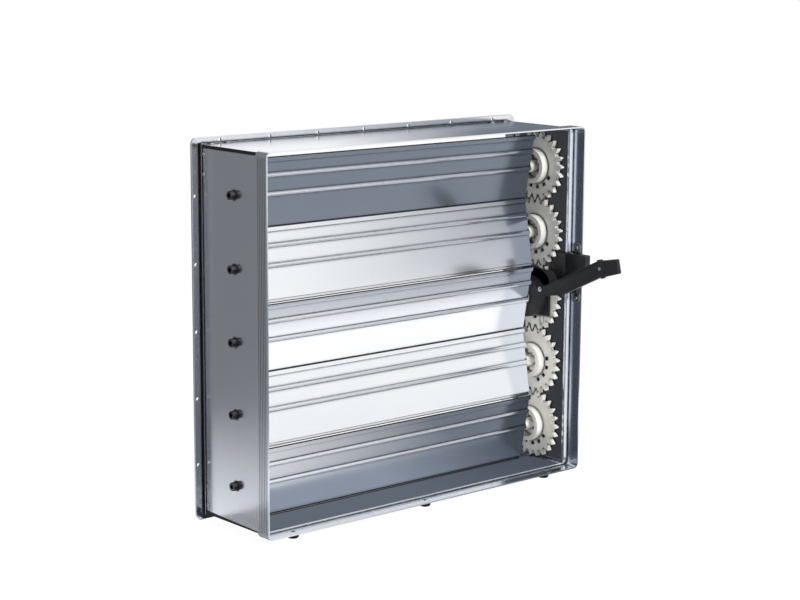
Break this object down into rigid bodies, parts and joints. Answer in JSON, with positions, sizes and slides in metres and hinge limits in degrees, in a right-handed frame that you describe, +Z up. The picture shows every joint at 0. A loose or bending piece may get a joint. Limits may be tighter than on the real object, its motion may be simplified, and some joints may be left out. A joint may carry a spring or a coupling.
{
  "type": "louver damper",
  "caption": "Opposed-blade louver damper: aluminium frame with a drilled rear flange, ribbed blades geared together at one side, and a black hand lever with its console.",
  "frame": {"origin": "centre of the duct opening in the plane of the rear flange's back face", "axes": "+X along the blades towards the gear side, +Y to the rear, through the duct, +Z up"},
  "size_m": [0.604, 0.2726, 0.536],
  "materials": {
    "frame_aluminium": "mill finish, lightly brushed along the profile",
    "blade_aluminium": "extruded, bright, faint lines along the blade",
    "gear_plastic": "moulded cream plastic, satin",
    "black_plastic": "moulded, fine grain",
    "bush_plastic": "moulded, satin",
    "seal_rubber": "matt",
    "bright_steel": "bright zinc plated",
    "dark_steel": "black coated"
  },
  "bodies": {
    "frame": {"frame_left": "frame_aluminium", "frame_right": "frame_aluminium", "frame_top": "frame_aluminium", "frame_bottom": "frame_aluminium", "seal_strip_left": "seal_rubber", "seal_strip_right": "seal_rubber", "seal_strip_top": "seal_rubber", "seal_strip_bottom": "seal_rubber", "corner_cleats": "bright_steel", "frame_rivets": "bright_steel", "left_bushes": "bush_plastic", "right_bushes": "bush_plastic", "lever_console": "black_plastic", "console_strip": "bright_steel", "console_screws": "bright_steel", "lip_feet": "black_plastic"},
    "blade_1_set": {"blade_1": "blade_aluminium", "blade_1_seals": "seal_rubber", "blade_1_gear": "gear_plastic", "blade_1_journal": "bush_plastic", "blade_1_shaft_screw": "dark_steel"},
    "blade_2_set": {"blade_2": "blade_aluminium", "blade_2_seals": "seal_rubber", "blade_2_gear": "gear_plastic", "blade_2_journal": "bush_plastic", "blade_2_shaft_screw": "dark_steel"},
    "blade_3_set": {"blade_3": "blade_aluminium", "blade_3_seals": "seal_rubber", "blade_3_gear": "gear_plastic", "blade_3_journal": "bush_plastic", "blade_3_shaft_screw": "dark_steel", "lever_arm": "black_plastic", "lever_grip": "black_plastic", "lever_screws": "bright_steel", "grip_pin": "bright_steel"},
    "blade_4_set": {"blade_4": "blade_aluminium", "blade_4_seals": "seal_rubber", "blade_4_gear": "gear_plastic", "blade_4_journal": "bush_plastic", "blade_4_shaft_screw": "dark_steel"},
    "blade_5_set": {"blade_5": "blade_aluminium", "blade_5_seals": "seal_rubber", "blade_5_gear": "gear_plastic", "blade_5_journal": "bush_plastic", "blade_5_shaft_screw": "dark_steel"}
  },
  "joints": [
    {"name": "blade_1_turn", "type": "hinge", "parent": "frame", "child": "blade_1_set", "pos_m": [0, -0.08, 0.197], "axis": [1, 0, 0], "range_deg": [-10, 80]},
    {"name": "blade_2_turn", "type": "hinge", "parent": "frame", "child": "blade_2_set", "pos_m": [0, -0.08, 0.097], "axis": [1, 0, 0], "range_deg": [-80, 10]},
    {"name": "blade_3_turn", "type": "hinge", "parent": "frame", "child": "blade_3_set", "pos_m": [0, -0.08, -0.003], "axis": [1, 0, 0], "range_deg": [-10, 80]},
    {"name": "blade_4_turn", "type": "hinge", "parent": "frame", "child": "blade_4_set", "pos_m": [0, -0.08, -0.103], "axis": [1, 0, 0], "range_deg": [-80, 10]},
    {"name": "blade_5_turn", "type": "hinge", "parent": "frame", "child": "blade_5_set", "pos_m": [0, -0.08, -0.203], "axis": [1, 0, 0], "range_deg": [-10, 80]}
  ],
  "couplings": [
    {"joint": "blade_1_turn", "follows": "blade_3_turn", "ratio": 1},
    {"joint": "blade_2_turn", "follows": "blade_3_turn", "ratio": -1},
    {"joint": "blade_4_turn", "follows": "blade_3_turn", "ratio": -1},
    {"joint": "blade_5_turn", "follows": "blade_3_turn", "ratio": 1}
  ]
}
